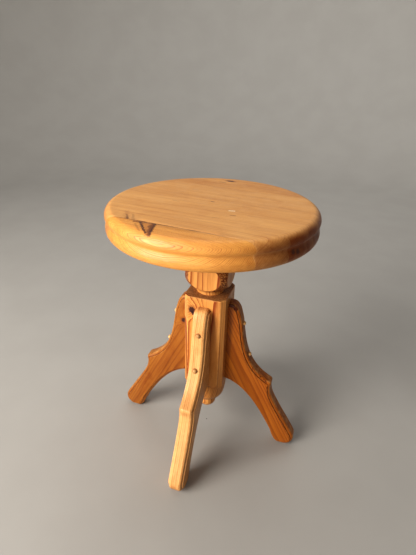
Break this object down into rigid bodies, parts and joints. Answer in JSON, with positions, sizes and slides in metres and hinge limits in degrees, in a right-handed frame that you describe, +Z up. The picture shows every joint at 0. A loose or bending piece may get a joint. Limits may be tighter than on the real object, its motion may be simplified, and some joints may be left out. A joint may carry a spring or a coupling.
{
  "type": "adjustable swivel stool",
  "caption": "Round wooden stool whose seat turns on a central steel screw to change its height, on a turned post with shaped splayed legs.",
  "frame": {"origin": "on the floor under the middle of the post", "axes": "+Z up along the screw, -Y towards the front leg, +X towards the right leg"},
  "size_m": [0.375, 0.375, 0.49],
  "materials": {
    "seat_pine": "satin varnished pine",
    "post_pine": "satin varnished pine",
    "leg_pine": "satin varnished pine",
    "plug_wood": "satin varnished pale wood",
    "screw_steel": "turned and greased",
    "zinc_steel": "zinc plated",
    "black_iron": "black paint",
    "felt": "pressed felt"
  },
  "bodies": {
    "base": {"post": "post_pine", "leg_front": "leg_pine", "leg_right": "leg_pine", "leg_back": "leg_pine", "leg_left": "leg_pine", "leg_screws": "zinc_steel", "screw_plugs": "plug_wood", "nut_plate": "black_iron", "nut_plate_screws": "zinc_steel", "spindle_nut": "black_iron"},
    "washer": {"felt_washer": "felt"},
    "seat": {"seat_board_1": "seat_pine", "seat_board_2": "seat_pine", "seat_board_3": "seat_pine", "seat_board_4": "seat_pine", "seat_board_5": "seat_pine", "spindle_flange": "black_iron", "flange_screws": "zinc_steel", "spindle": "screw_steel", "stop_collar": "screw_steel", "collar_grub_screw": "black_iron"}
  },
  "joints": [
    {"name": "seat_turn", "type": "hinge", "parent": "base", "child": "washer", "pos_m": [0, 0, 0.393], "axis": [0, 0, 1], "range_deg": [-2640, 3960]},
    {"name": "seat_rise", "type": "slide", "parent": "washer", "child": "seat", "axis": [0, 0, 1], "range_m": [-0.04405, 0.06605]}
  ],
  "couplings": [
    {"joint": "seat_rise", "follows": "seat_turn", "m_per_rad": 0.00095493}
  ]
}
